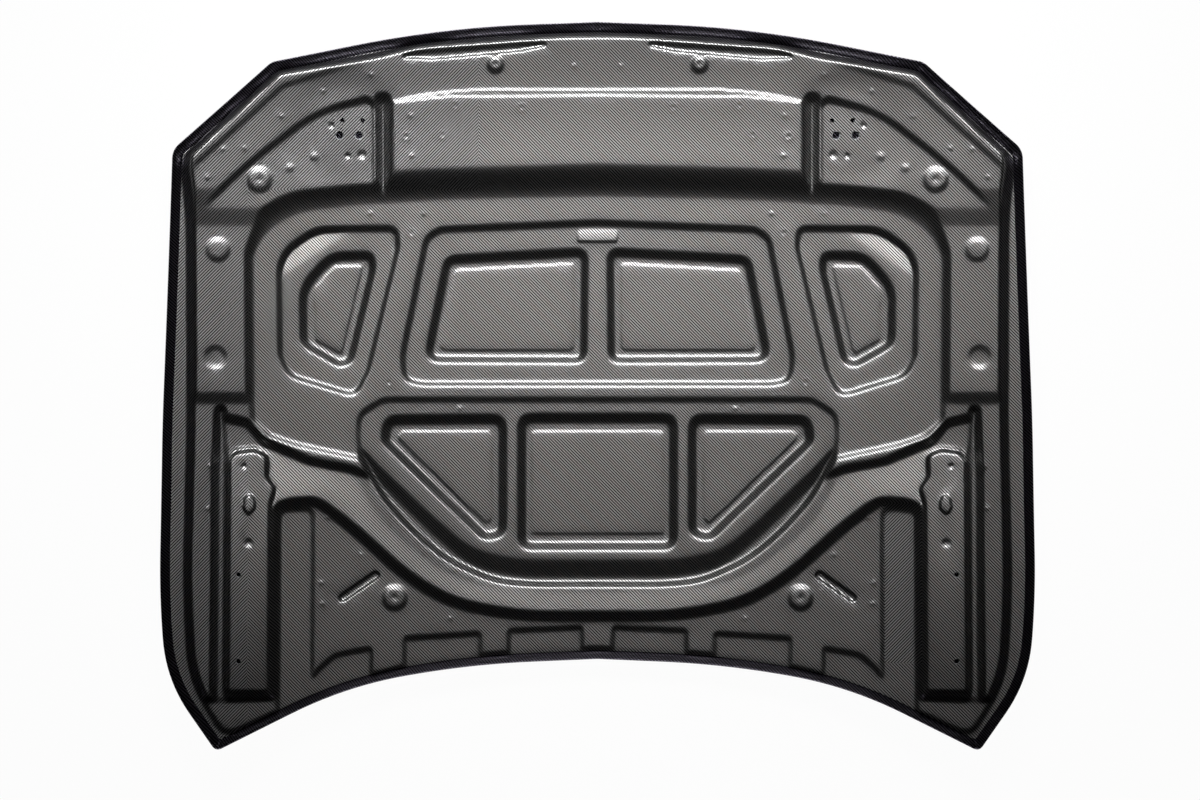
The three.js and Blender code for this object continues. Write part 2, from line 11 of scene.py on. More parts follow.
import bpy
import numpy as np
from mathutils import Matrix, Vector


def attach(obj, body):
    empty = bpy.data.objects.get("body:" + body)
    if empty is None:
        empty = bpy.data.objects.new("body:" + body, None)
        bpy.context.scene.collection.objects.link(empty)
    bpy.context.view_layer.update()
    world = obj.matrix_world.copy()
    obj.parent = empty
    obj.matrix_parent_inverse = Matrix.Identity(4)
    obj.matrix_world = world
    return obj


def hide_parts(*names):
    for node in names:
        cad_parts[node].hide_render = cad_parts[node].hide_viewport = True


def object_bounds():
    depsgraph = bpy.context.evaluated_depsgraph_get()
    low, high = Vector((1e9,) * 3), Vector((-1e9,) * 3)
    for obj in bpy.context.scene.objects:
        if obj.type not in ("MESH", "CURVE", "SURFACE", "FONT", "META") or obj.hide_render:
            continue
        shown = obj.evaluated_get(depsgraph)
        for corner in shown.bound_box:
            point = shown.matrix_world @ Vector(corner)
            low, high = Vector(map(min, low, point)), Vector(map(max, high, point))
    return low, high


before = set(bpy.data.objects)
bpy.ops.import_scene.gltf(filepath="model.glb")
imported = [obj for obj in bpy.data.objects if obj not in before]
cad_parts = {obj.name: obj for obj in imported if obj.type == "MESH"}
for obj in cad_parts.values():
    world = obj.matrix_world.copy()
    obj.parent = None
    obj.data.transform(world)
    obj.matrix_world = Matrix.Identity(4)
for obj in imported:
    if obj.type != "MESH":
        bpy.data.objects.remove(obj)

cad_low, cad_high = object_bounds()
mm = 0.001
print("solids:", len(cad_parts), "box:", [round(v, 4) for v in (*cad_low, *cad_high)])

# %% [markdown]
# ## Camera
# The picture was taken from far away and straight at the underside, so the panel shows almost no
# perspective. A long lens from eight metres gives that. The picture's scale is 1.72 mm for one pixel at
# the height of the panel, and that fixes the lens.

# %% Camera over the panel
PIXELS_ACROSS = 1200
PIXEL = 1.72 * mm
CAMERA_HEIGHT = 8.0
PANEL_HEIGHT = 0.06
PICTURE_CENTRE = (4.3 * mm, -27 * mm)
SENSOR_WIDTH = 36

camera = bpy.data.objects.new("camera", bpy.data.cameras.new("camera"))
camera.data.sensor_width = SENSOR_WIDTH
camera.data.lens = SENSOR_WIDTH * (CAMERA_HEIGHT - PANEL_HEIGHT) / (PIXELS_ACROSS * PIXEL)
camera.location = (*PICTURE_CENTRE, CAMERA_HEIGHT)
bpy.context.scene.collection.objects.link(camera)
bpy.context.scene.camera = camera
print("lens:", round(camera.data.lens, 1), "mm")

# %% [markdown]
# ## Node materials in one helper
# A material is a small network. One function adds a node, sets its values and links its inputs, and one
# turns the hex colours that people read off a picture into the linear numbers that Blender works with.

# %% Helpers for materials
def linear(hex_colour):
    """Turns an sRGB hex colour into linear red, green, blue and alpha."""
    channels = [int(hex_colour[i : i + 2], 16) / 255 for i in (1, 3, 5)]
    return (*[c / 12.92 if c <= 0.04045 else ((c + 0.055) / 1.055) ** 2.4 for c in channels], 1)


def add_node(tree, kind, settings=None, **inputs):
    """Adds a node. Settings are its properties; inputs are values, or sockets to link."""
    node = tree.nodes.new(kind)
    for name, value in (settings or {}).items():
        setattr(node, name, value)
    for name, value in inputs.items():
        key = int(name[1:]) if name[0] == "i" and name[1:].isdigit() else name.replace("_", " ")
        if isinstance(value, bpy.types.NodeSocket):
            tree.links.new(value, node.inputs[key])
        else:
            node.inputs[key].default_value = value
    return node


def new_material(name):
    """Makes an empty node material and gives its tree and its output node."""
    material = bpy.data.materials.new(name)
    material.use_nodes = True
    material.node_tree.nodes.clear()
    output = material.node_tree.nodes.new("ShaderNodeOutputMaterial")
    return material, material.node_tree, output


print("a middle grey, linear:", [round(c, 4) for c in linear("#808080")[:3]])

# %% [markdown]
# ## Outlines and walls
# Every pressed form is an outline with rounded corners and a leaning wall, because the cloth has to come
# out of its mould. We keep each outline as a short list of corners. A corner is x, y, fillet radius, and
# how far the wall that leaves it leans, in millimetres across for each millimetre up.

# %% Corners and half outlines
STEEP = 0.3  # the lean of a wall that is given none


def draw(corners, lean=STEEP):
    """Fills in the corners that give no radius or lean of their own."""
    return [(c[0], c[1], c[2] if len(c) > 2 else 0, c[3] if len(c) > 3 else lean) for c in corners]


def closed(half):
    """Closes a half outline that starts and ends on the centre line."""
    far = [(-x, y, r, half[i][3]) for i, (x, y, r, _) in enumerate(half[1:-1])]
    last = (*half[-1][:3], half[-2][3])
    return [*half[:-1], last, *far[::-1]]


def circle(x, y, radius, lean=0.9, count=32):
    """A round outline, as a ring of short straight walls."""
    angles = -2 * np.pi * np.arange(count) / count
    return [(x + radius * math.cos(a), y + radius * math.sin(a), 0, lean) for a in angles]


print("corners of a closed triangle:", len(closed(draw([(0, 9), (9, 0), (0, 0)]))))

# %% Walls moved sideways
NEARLY_STRAIGHT = 0.12  # sine of the bend below which two walls count as one


def moved(outline, distance_of):
    """Moves every wall of a clockwise outline outwards by its own distance."""
    result = []
    for i, (x, y, radius, lean) in enumerate(outline):
        before, after = outline[i - 1], outline[(i + 1) % len(outline)]
        a = np.array([before[1] - y, x - before[0]])
        b = np.array([y - after[1], after[0] - x])
        a, b = a / np.linalg.norm(a), b / np.linalg.norm(b)
        da, db = distance_of(before), distance_of(outline[i])
        bend = a[0] * b[1] - a[1] * b[0]
        if abs(bend) < NEARLY_STRAIGHT:
            shift = (a * da + b * db) / 2
        else:
            shift = np.array([da * b[1] - db * a[1], a[0] * db - b[0] * da]) / bend
        turn = 1 if bend < 0 else -1
        radius = max(1, radius + turn * (da + db) / 2) if radius else 0
        result.append((x + shift[0], y + shift[1], radius, lean))
    return result


square = [(0, 9, 2, 1), (9, 9, 2, 1), (9, 0, 2, 1), (0, 0, 2, 1)]
print("a square moved out by 1 starts at:", moved(square, lambda corner: 1)[0][:2])

# %% Rounded corners and distances
def ring(outline, steps=7):
    """The points of an outline with its corners rounded by a curve of so many steps."""
    points = []
    for i, (x, y, radius, _) in enumerate(outline):
        here = np.array([x, y], float)
        if radius == 0:
            points.append(here)
            continue
        back = np.array(outline[i - 1][:2]) - here
        ahead = np.array(outline[(i + 1) % len(outline)][:2]) - here
        behind, before = np.linalg.norm(back), np.linalg.norm(ahead)
        half = math.acos(np.clip(back @ ahead / behind / before, -1, 1)) / 2
        reach = min(radius / math.tan(half), 0.48 * min(behind, before))  # just under half a wall
        start, end = here + back / behind * reach, here + ahead / before * reach
        for t in np.linspace(0, 1, steps):
            points.append((1 - t) ** 2 * start + 2 * t * (1 - t) * here + t * t * end)
    return np.array(points)


def signed_distance(x, y, points):
    """Distance from each place to a closed ring of points, below zero inside it."""
    nearest = np.full(x.shape, 1e9)
    inside = np.zeros(x.shape, bool)
    for (ax, ay), (bx, by) in zip(points, np.roll(points, -1, axis=0)):
        ex, ey = bx - ax, by - ay
        length = ex * ex + ey * ey
        if length < 1e-9:
            continue
        t = np.clip(((x - ax) * ex + (y - ay) * ey) / length, 0, 1)
        nearest = np.minimum(nearest, (x - ax - t * ex) ** 2 + (y - ay - t * ey) ** 2)
        if ay != by:
            crosses = (ay > y) != (by > y)
            inside ^= crosses & (x < ex * (y - ay) / ey + ax)
    return np.where(inside, -1, 1) * np.sqrt(nearest)


print("points in the rounded square:", len(ring(square)))

# %% [markdown]
# ## The pressed forms
# Next come the forms of the inner frame: the outer beam, the latch pads, the big opening, ledges, pockets,
# the curved band at the rear and the hinge pads. Heights are above the skin, before the crown is put in.
# Only the right-hand half is drawn. An outline that leaves the panel simply runs on beyond it.

# %% Thicknesses and heights in millimetres
RIM = {"front": 13, "side": 12, "rear": 11}  # how far the turned-up edge leans out
RIM_HEIGHT = 17
SKIN = 2.0  # thickness of the outer skin
SHEET = 2.5  # thickness of the inner frame
RIM_GAP = 1.5  # between the frame's edge and the foot of the rim

FLANGE = 3.0  # glued edge of the frame
FRONT = 43  # land behind the nose
PANEL = 45.4  # centre panel
PAD = 35.5  # latch pads
RAIL, RAIL_REAR = 31, 25  # side rails, and their part beside the hinge pads
HINGE = 29  # hinge pads
CHANNEL = 24  # groove between latch pad and centre panel
FIELD = 20  # floor of the big opening
BAND = 21  # curved band
VEE = 16  # land round the three rear pockets
LEDGE = 14
VALLEY, VEE_VALLEY = 9, 6.5  # grooves beside the hinge pads and round the rear pockets
REAR = 7.5  # rear land
POCKET, PLATEAU = 4.4, 5.5  # floor of a pocket and the flat middle of it
REAR_POCKET = 3.6

LAND_STEP = 2.5  # from the front beam's lip down to the land at the corners
PANEL_STEP = 1.2  # the first of the two small steps up to the centre panel
NOSE_CHANNEL = 4
RIB_PAD = 1.2
BEAD = 3.4
DROP = 3
BOSSES = {"nose": 4, "corner": 3, "rail": 2.6, "rear": 3.4}
RAIL_DIMPLE = 2.4
CLEAR, UNDER = 53, -4  # every wall runs on to one of these heights
print("highest floor:", PANEL, "lowest:", FLANGE)

# %% Outlines of the panel, the frame and its beam
SOFT = 4000  # a shallow bend, rounded as far as its neighbours allow
LIP = 0.15  # lean of the beam's wall at the nose
BEAM_SIDE = 0.5
front, side, rear = (RIM[k] for k in ("front", "side", "rear"))
panel_outline = closed(
    draw([
        (0, 623, 0, front), (190, 616, SOFT, front), (345, 597, SOFT, front), (559, 553, 34, front),
        (729, 402, 36, side), (747, -60, SOFT, side), (751, -360, SOFT, side), (739, -506, SOFT, side),
        (653, -629, 14, rear), (430, -519, SOFT, rear), (215, -483, SOFT, rear), (0, -474),
    ])
)


def skin_across(corner):
    """Thickness of the skin measured level, where the rim leans."""
    return SKIN * math.sqrt(1 + (corner[3] / RIM_HEIGHT) ** 2)


rim_foot = moved(panel_outline, lambda corner: -(corner[3] + skin_across(corner)))
frame_outline = moved(rim_foot, lambda corner: -RIM_GAP)
beam_outline = closed(
    draw([
        (0, 598, 0, LIP), (75, 597, SOFT, LIP), (311, 579, SOFT, LIP), (374, 562, SOFT, LIP),
        (545, 532, 20, LIP), (697, 393, 20, BEAM_SIDE), (685, 300, SOFT, BEAM_SIDE),
        (684, -60, SOFT, BEAM_SIDE), (690, -350, SOFT, BEAM_SIDE), (680, -500, SOFT, BEAM_SIDE),
        (628, -586, 14), (419, -491, SOFT), (213, -454, SOFT), (0, -445),
    ])
)
print("corners of the panel:", len(panel_outline), "of the beam:", len(beam_outline))

# %% Outlines of the opening, the pads and the rear land
opening = closed(
    draw([
        (0, 325, 0, 2.2), (254, 320, SOFT, 2), (426, 309, SOFT, 2.4), (520, 295, SOFT, 2.4),
        (573, 262, 120, 2), (592, 222, 30, 1.1), (590, -62, 18, 0.75), (563, -86, 30, 0.75),
        (520, -101, SOFT, 0.75), (405, -126, 20, 0.75), (0, -126),
    ])
)
latch_pad = draw(
    [(384, 488, 14), (463, 468, SOFT), (503, 447, SOFT), (601, 373, SOFT), (680, 296),
     (735, 262, 0, 0.3), (735, 200, 0, 0.3), (384, 200, 0, 0.3)], 1.1,
)
hinge_pad = draw(
    [(634, -131, 8), (622, -118, 10), (590, -114, 20), (569, -124, 10), (569, -160, 14),
     (555, -180, 12), (563, -208, 14), (563, -528, 8), (634, -528, 8)]
)[::-1]

rear_land = closed(
    draw([
        (0, -408, 0, 1.2), (133, -408, SOFT, 1.2), (258, -384, SOFT, 1.4), (335, -338, SOFT, 1.4),
        (430, -252, SOFT, 1.3), (489, -208, 24, 1), (552, -212, 12), (554, -540), (800, -545),
        (800, -800), (0, -800),
    ])
)


BAND_FALL, RIB_PAD_FALL = 0.085, 0.08


def band_tilt(x, y):
    """The curved band falls a little away from its outer edge, so its face turns to the nose."""
    reach = np.interp(x, [380, 440], [50, 100])
    return -BAND_FALL * np.clip(signed_distance(x, y, ring(rear_land)), 0, reach)


def step_fades(x, y):
    """The step at the corner of the front beam rises back to the land towards the middle."""
    return LAND_STEP * np.clip((475 - x) / 90, 0, 1)


def rib_pad_tilt(x, y):
    return -RIB_PAD_FALL * (y - 256)


print("corners of the opening:", len(opening), "of a hinge pad:", len(hinge_pad))

# %% [markdown]
# ## Their order
# The forms cut and raise the sheet one after the other, as a mould maker would mill them, so the order
# matters: a pocket goes into a ledge that is there already. Each form is its kind, its level, its outline
# and, where it needs them, how much its wall swings into an S and how its floor is tilted.

# %% The pressed forms in their order
BEYOND = 900  # well outside the panel
pressings = [
    ("raise", FRONT, beam_outline),
    ("press", FRONT - LAND_STEP, draw(
        [(385, 553, 4), (432, 543, SOFT), (538, 509, 30), (688, 375), (735, 262, 0, STEEP),
         (600, 300, 0, STEEP), (385, 480, 0, STEEP)], 0.9), 0.0, step_fades),
    ("press", RAIL, draw(
        [(-BEYOND, 272, 0, 6.5), (BEYOND, 272), (BEYOND, -BEYOND), (-BEYOND, -BEYOND)])),
    ("press", RAIL_REAR, draw(
        [(-BEYOND, -33, 0, 3), (BEYOND, -33), (BEYOND, -BEYOND), (-BEYOND, -BEYOND)])),
    ("press", PAD, latch_pad),
    ("raise", PANEL, closed(draw([(0, 478, 0, 0.6), (352, 474), (352, 200), (0, 200)]))),
    ("press", CHANNEL, draw([(367, 486, 1), (371, 486, 1), (371, 320), (367, 320)], 0.62)),
    ("press", FIELD, opening, 0.07),
    ("press", LEDGE, closed(draw(
        [(0, 276), (271, 264, 20), (293, 250, 22), (335, 44, SOFT), (329, 8, 24), (300, 3, 16),
         (0, 3)], 0.9))),
    ("press", LEDGE, draw(
        [(484, 264, 70), (349, 266, 14), (347, 236, 20), (398, 26, 30), (419, -17, 20),
         (530, 17, 40), (544, 50, 30), (546, 222, 70)], 0.9)[::-1]),
    ("press", VEE_VALLEY, closed(draw(
        [(0, -37, 0, 0.9), (366, -37, 22, 0.9), (401, -58, 22, 0.9), (405, -118, 30),
         (372, -190, SOFT), (313, -255, SOFT), (258, -301, SOFT), (180, -336, SOFT), (120, -343, SOFT),
         (0, -343)], 0.5))),
    ("raise", VEE, closed(draw(
        [(0, -20), (400, -20, 10), (424, -60, 10), (414, -106, 30, 2), (368, -150, SOFT, 2.2),
         (270, -242, SOFT, 2.6), (214, -287, SOFT, 3), (133, -304, SOFT, 3), (0, -304)]))),
    ("press", BAND, draw(
        [(0, -200, 0, STEEP), (372, -168, 10), (433, -150, 40), (498, -137, 40), (579, -103, 30),
         (604, -72, 10), (646, -62, 0, STEEP), (646, -800, 0, STEEP), (0, -800, 0, STEEP)], 0.9),
        0.0, band_tilt),
    ("press", REAR, rear_land),
    ("press", REAR_POCKET, draw(
        [(493, -216, 14, 1.2), (548, -218, 14), (548, -680), (493, -680, 0, 1.2)])),
    ("press", VALLEY, draw(
        [(645, -44, 2), (651, -44, 2), (655, -150, 20), (656, -620), (637, -620),
         (638, -150, 20)])),
    ("raise", HINGE, hinge_pad),
    ("press", POCKET, draw([(27, 223, 10), (255, 210, 14), (288, 48, 14), (29, 47, 10)], 1.1)),
    ("press", POCKET, draw(
        [(394, 217, 12), (458, 215, 45), (503, 164, 60), (502, 73, 18), (445, 40, 14),
         (431, 44, 14), (394, 196, 12)], 1.1)),
    ("press", POCKET, draw(
        [(170, -66, 14), (357, -68, 14), (361, -96, 12), (192, -258, 16), (170, -252, 10)], 1.1)),
    ("press", POCKET, closed(draw([(0, -65), (125, -65, 12), (125, -274, 12), (0, -274)], 1.1))),
    ("press", REAR_POCKET, draw(
        [(28, -422, 4), (152, -427, 4), (152, -487), (28, -482)], 0.8)),
    ("press", REAR_POCKET, draw(
        [(204, -432, 4), (331, -440, 4), (331, -500), (204, -492)], 0.8)),
    ("press", REAR_POCKET, draw(
        [(391, -457, 4), (451, -468, 20), (474, -487, 20), (494, -509, 4), (494, -580), (391, -560)],
        0.8)),
    ("raise", FRONT + BOSSES["nose"], circle(175, 549, 12, 0.3)),
    ("raise", PAD + BOSSES["corner"], circle(580, 351, 18, 0.7)),
    ("raise", RAIL + BOSSES["rail"], circle(651, 231, 17, 0.8)),
    ("press", RAIL - RAIL_DIMPLE, circle(656, 46, 16)),
    ("raise", REAR + BOSSES["rear"], circle(350, -368, 18, 0.8)),
]

print("pressed forms:", len(pressings))

# %% Low forms with a crisper edge
# The steps up to the centre panel, the nose channel, the flat middles of the pockets, the rib pad, the
# short bead and the drop on the hinge pad
fine_pressings = [
    ("raise", FRONT + PANEL_STEP, closed(draw(
        [(0, 506, 0, 0.6), (215, 506, SOFT, 0.6), (300, 497, SOFT, 0.6), (352, 485, 6), (352, 460),
         (0, 460)]))),
    ("raise", PANEL, closed(draw(
        [(0, 495, 0, 0.6), (258, 494, SOFT, 0.6), (352, 482, 6), (352, 440), (0, 440)]))),
    ("press", FRONT - NOSE_CHANNEL, draw(
        [(90, 583, 0, 3.5), (311, 566, 10, 3.5), (338, 560, 4), (281, 558, 20),
         (133, 572, 20), (90, 581, 4)], 0.4)),
    ("raise", PLATEAU, draw([(42, 209, 6), (246, 197, 8), (274, 60, 8), (42, 60, 6)])),
    ("raise", PLATEAU, draw(
        [(406, 205, 6), (453, 204, 10), (488, 165, 8), (486, 76, 8), (446, 54, 6),
         (441, 58, 6)])),
    ("raise", PLATEAU, draw(
        [(185, -81, 8), (340, -81, 8), (345, -94, 6), (194, -240, 8), (185, -236, 4)])),
    ("raise", PLATEAU, closed(draw([(0, -82), (114, -82, 8), (114, -259, 8), (0, -259)]))),
    ("raise", LEDGE + RIB_PAD, closed(draw([(0, 266), (33, 266, 4), (33, 246, 4), (0, 246)])), 0.0,
        rib_pad_tilt),
    ("press", REAR - BEAD, draw(
        [(446, -367, 5), (440, -375, 5), (376, -331, 5), (382, -323, 5)], 0.5)),
    ("raise", HINGE + DROP, draw(
        [(592, -192, 8), (604, -192, 8), (608, -212, 10), (600, -225, 8), (588, -212, 10)])),
]
print("crisper forms:", len(fine_pressings))

# %% [markdown]
# ## From outlines to a surface
# Between its foot and its top a wall is straight, so the height of any place is a share of the distance
# to the two outlines. We work that out on a fine grid, take the lower or the higher surface as each form
# is pressed or raised, and then blur the grid a little. The blur is the real thing's doing too: cloth
# can't be laid into a sharp corner, and every edge of such a sheet has a radius of some millimetres.

# %% One form on a grid
STEP = 2.5
xs = np.arange(0, 760, STEP)
ys = np.arange(-640, 640, STEP)
grid_x, grid_y = np.meshgrid(xs, ys)
S_WALL_SHARE = 0.8  # the share of the opening's long wall that ends at the land in front of it


def apply_form(height, kind, level, outline, swing=0.0, tilt=None):
    """Presses or raises one form in the part of the grid that it reaches."""
    other = CLEAR if kind == "press" else UNDER
    near, far = ring(outline), ring(moved(outline, lambda corner: corner[3] * abs(other - level)))
    (x0, y0), (x1, y1) = far.min(axis=0), far.max(axis=0)
    columns = slice(*np.searchsorted(xs, (x0 - STEP, x1 + STEP)))
    rows = slice(*np.searchsorted(ys, (y0 - STEP, y1 + STEP)))
    if columns.start == columns.stop or rows.start == rows.stop:
        return
    x, y = grid_x[rows, columns], grid_y[rows, columns]
    to_near = np.maximum(signed_distance(x, y, near), 0)
    to_far = np.maximum(-signed_distance(x, y, far), 0)
    share = to_near / np.maximum(to_near + to_far, 1e-6)
    share = share - swing * np.sin(2 * np.pi * np.minimum(share / S_WALL_SHARE, 1))
    form = level + (other - level) * share
    if tilt is not None:
        form = form + tilt(x, y)
    choose = np.minimum if kind == "press" else np.maximum
    height[rows, columns] = choose(height[rows, columns], form)


def blurred(values, sigma):
    """Softens a grid with a bell curve that is sigma millimetres wide."""
    reach = int(3 * sigma / STEP) + 1
    weights = np.exp(-0.5 * (np.arange(-reach, reach + 1) * STEP / sigma) ** 2)
    weights /= weights.sum()
    for axis in (0, 1):
        padding = [(reach, reach) if a == axis else (0, 0) for a in (0, 1)]
        mode = "reflect" if axis == 1 else "edge"
        padded = np.pad(values, padding, mode=mode)
        length = values.shape[axis]
        values = sum(w * np.take(padded, range(k, k + length), axis) for k, w in enumerate(weights))
    return values


print("grid:", grid_x.shape[1], "by", grid_x.shape[0], "points")

# %% Press the sheet
FILLET = 2.6  # width of the blur that rounds the walls
CRISP_FILLET = 1.3
sheet = np.full(grid_x.shape, float(FLANGE))
for form in pressings:
    apply_form(sheet, *form)
sheet = blurred(sheet, FILLET)
for form in fine_pressings:
    apply_form(sheet, *form)
print("sheet heights before the small marks:", round(sheet.min(), 1), "to", round(sheet.max(), 1), "mm")

# %% [markdown]
# ## Small round marks
# The sheet also has dots that stand out, ring-shaped ones and dimples, where fasteners and tools have
# touched the mould. They are a millimetre or two high, so each is simply a low bump added to the sheet.
# The outer corner of the side ledges slopes down like a scoop.

# %% Marks and scoop
# Places of the marks with their radius and rise in millimetres
MARKS = [
    ([(541, 459), (470, 502), (388, 530), (641, 402), (605, 404), (668, 354), (321, 461), (319, 392),
      (40, 546), (391, 294), (300, 294), (408, -294), (467, -230), (476, -342), (474, -378),
      (254, -404), (666, -141), (669, -213), (238, -42)], 5, 1),
    ([(486, 391), (528, 371)], 8, 1.2),
    ([(405, 394), (599, -273)], 8, -2),
    ([(429, 392), (608, -141), (457, 444)], 5, -2),
]
RINGS = [(328, 425), (243, 478), (130, 475), (266, 428), (321, 261), (360, 3)]
BOSS_CENTRES = [(580, 351), (350, -368), (175, 549)]
MARKS += [(RINGS, 10, 0.9), (RINGS, 6, -1.3), (BOSS_CENTRES, 6, -0.9)]
for places, radius, rise in MARKS:
    for px, py in places:
        distance = np.hypot(grid_x - px, grid_y - py) / radius
        sheet += rise * np.clip(1 - distance**2, 0, 1)

SCOOP_START, SCOOP_LENGTH, SCOOP_SLOPE = 6, 30, 0.12
outwards = 0.55 * (grid_x - 490) + 0.83 * (grid_y - 214)  # distance from the ledge towards its corner
on_ledge = np.clip(1.5 - np.abs(sheet - LEDGE), 0, 1)
sheet -= SCOOP_SLOPE * np.clip(outwards - SCOOP_START, 0, SCOOP_LENGTH) * on_ledge
sheet = blurred(sheet, CRISP_FILLET)
print("marks:", sum(len(places) for places, _, _ in MARKS))
print("sheet heights:", round(sheet.min(), 1), "to", round(sheet.max(), 1), "mm on", sheet.shape)

# %% [markdown]
# ## The crown
# The panel isn't flat: its edges stand above its middle, and the nose curls up a little more. The pads
# for hinges and latches have to be flat, so each keeps to one plane that touches the crown between its
# bolts and fades into the crown around the pad.

# %% Lift of each place
NOSE, TIP, HALF_WIDTH = 623, -629, 752
CROWN_ACROSS, CROWN_ALONG, NOSE_LIFT, NOSE_CURL = 58, 40, 10, 220
CROWN_CENTRE = 20


def crown(x, y):
    """Height that the bend of the panel gives to a place."""
    across = x / HALF_WIDTH
    along = 2 * (y - CROWN_CENTRE) / (NOSE - TIP)
    curl = np.maximum(0, (y - (NOSE - NOSE_CURL)) / NOSE_CURL)
    return CROWN_ACROSS * across**2 + CROWN_ALONG * along**2 + NOSE_LIFT * curl**2


def plane_at(px, py):
    """The plane that touches the crown at one place."""
    slope_x = (crown(px + 1, py) - crown(px - 1, py)) / 2
    slope_y = (crown(px, py + 1) - crown(px, py - 1)) / 2
    return lambda x, y: crown(px, py) + slope_x * (x - px) + slope_y * (y - py)


# Middle of each pad between its bolts, reach of its plane, how much longer that is along the car, and
# the outline that the plane keeps to
PADS = [((615.5, -401), 70, 3.5, hinge_pad), ((426.5, 427), 60, 1, None)]

lift = crown(grid_x, grid_y)
for (px, py), reach, stretch, outline in PADS:
    away = np.hypot(grid_x - px, (grid_y - py) / stretch) / reach
    share = np.clip(2 - away, 0, 1)
    if outline is not None:
        share *= np.clip(1 - (signed_distance(grid_x, grid_y, ring(outline)) - 2) / 6, 0, 1)
    share = share * share * (3 - 2 * share)
    lift += share * (plane_at(px, py)(grid_x, grid_y) - lift)
surface = sheet + lift
print("lift at the corners:", round(float(lift.max()), 1), "mm")

# %% [markdown]
# ## A mesh from the grid
# The cells inside the frame's outline and outside its holes become faces. A cell is square, but the
# outline isn't, so the points along an edge are pulled onto it. Blender's Decimate then takes points out
# where the sheet is plain and leaves them on the walls. Last, the sheet gets its thickness, and each
# point gets the exact slope of the surface as its normal, which keeps the reflections smooth.

# %% Cells inside the outline
# Bolt holes of the hinge pad, then bolt and pin holes of the latch pad: x, y and radius
HOLES = [
    (616, -327, 4.6), (615, -475, 4.6), (410, 427, 7), (443, 427, 7), (403, 453, 4), (438, 453, 4),
]


def full(values, sign=1):
    """Both halves of a grid that was worked out for the right-hand half."""
    return np.concatenate([sign * values[:, :0:-1], values], axis=1)


edge = signed_distance(grid_x, grid_y, ring(frame_outline))
for hx, hy, radius in HOLES:
    edge = np.maximum(edge, radius - np.hypot(grid_x - hx, grid_y - hy))

all_x, all_y = full(grid_x, -1), full(grid_y)
all_edge, all_z = full(edge), full(surface)
fall_y, fall_x = np.gradient(all_z, STEP)
edge_y, edge_x = np.gradient(all_edge, STEP)

middle = (all_edge[:-1, :-1] + all_edge[1:, :-1] + all_edge[:-1, 1:] + all_edge[1:, 1:]) / 4
cells = np.argwhere(middle < 0)
columns = all_x.shape[1]
first = cells[:, 0] * columns + cells[:, 1]
quads = np.stack([first, first + 1, first + 1 + columns, first + columns], axis=1)
used, packed = np.unique(quads, return_inverse=True)
quads = packed.reshape(quads.shape)
print("cells of the inner frame:", len(quads))

# %% Points pulled onto the edges
HOLE_REACH = 3  # how far from a hole's edge a point still belongs to it


def open_edges(faces):
    """Directed edges that belong to one face only."""
    sides = np.concatenate([np.stack([f, g], 1) for f, g in zip(faces.T, np.roll(faces, -1, 1).T)])
    count = faces.max() + 1
    forward = sides[:, 0] * count + sides[:, 1]
    return sides[~np.isin(forward, sides[:, 1] * count + sides[:, 0])]


x, y, z = (v.ravel()[used].copy() for v in (all_x, all_y, all_z))
rim = np.unique(open_edges(quads))
gap = all_edge.ravel()[used][rim]
ex, ey = edge_x.ravel()[used][rim], edge_y.ravel()[used][rim]
size = np.maximum(np.hypot(ex, ey), 0.3)
x[rim] -= gap * ex / size
y[rim] -= gap * ey / size
z[rim] -= gap * (fall_x.ravel()[used][rim] * ex + fall_y.ravel()[used][rim] * ey) / size
for hx, hy, radius in HOLES + [(-hx, hy, radius) for hx, hy, radius in HOLES]:
    away = np.hypot(x[rim] - hx, y[rim] - hy)
    near = rim[away < radius + HOLE_REACH]
    stretch = radius / np.hypot(x[near] - hx, y[near] - hy)
    x[near], y[near] = hx + (x[near] - hx) * stretch, hy + (y[near] - hy) * stretch
print("points on the edges:", len(rim))

# %% Thin out the sheet
SHIFT_Y = cad_high.y / mm - NOSE  # from the drawing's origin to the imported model's
SHIFT_Z = SKIN
FACES_WANTED = 96000


def to_world(x, y, z):
    """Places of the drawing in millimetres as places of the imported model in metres."""
    return np.stack([x, y + SHIFT_Y, z + SHIFT_Z], axis=-1) * mm


def new_piece(name, points, faces, normals=None):
    """Makes a smooth mesh object; normals has one vector for each corner of each face."""
    mesh = bpy.data.meshes.new(name)
    mesh.from_pydata(points, [], faces)
    mesh.polygons.foreach_set("use_smooth", np.ones(len(mesh.polygons), bool))
    if normals is not None:
        mesh.normals_split_custom_set(normals)
    piece = bpy.data.objects.new(name, mesh)
    bpy.context.scene.collection.objects.link(piece)
    return piece


dense = new_piece("dense_sheet", to_world(x, y, z), quads)
thin = dense.modifiers.new("thin", "DECIMATE")
thin.ratio = FACES_WANTED / (2 * len(quads))
thin.use_collapse_triangulate = True
evaluated = dense.evaluated_get(bpy.context.evaluated_depsgraph_get()).to_mesh()
points = np.empty(len(evaluated.vertices) * 3)
evaluated.vertices.foreach_get("co", points)
points = points.reshape(-1, 3)
triangles = np.empty(len(evaluated.polygons) * 3, int)
evaluated.loops.foreach_get("vertex_index", triangles)
triangles = triangles.reshape(-1, 3)
bpy.data.objects.remove(dense)
print("thinned to", len(triangles), "triangles")

# %% Thickness and normals
def sampled(values, x, y):
    """Reads a full grid between its points."""
    column = np.clip((x - all_x[0, 0]) / STEP, 0, values.shape[1] - 1.001)
    row = np.clip((y - ys[0]) / STEP, 0, values.shape[0] - 1.001)
    c, r = column.astype(int), row.astype(int)
    u, v = column - c, row - r
    low = values[r, c] * (1 - u) + values[r, c + 1] * u
    high = values[r + 1, c] * (1 - u) + values[r + 1, c + 1] * u
    return low * (1 - v) + high * v


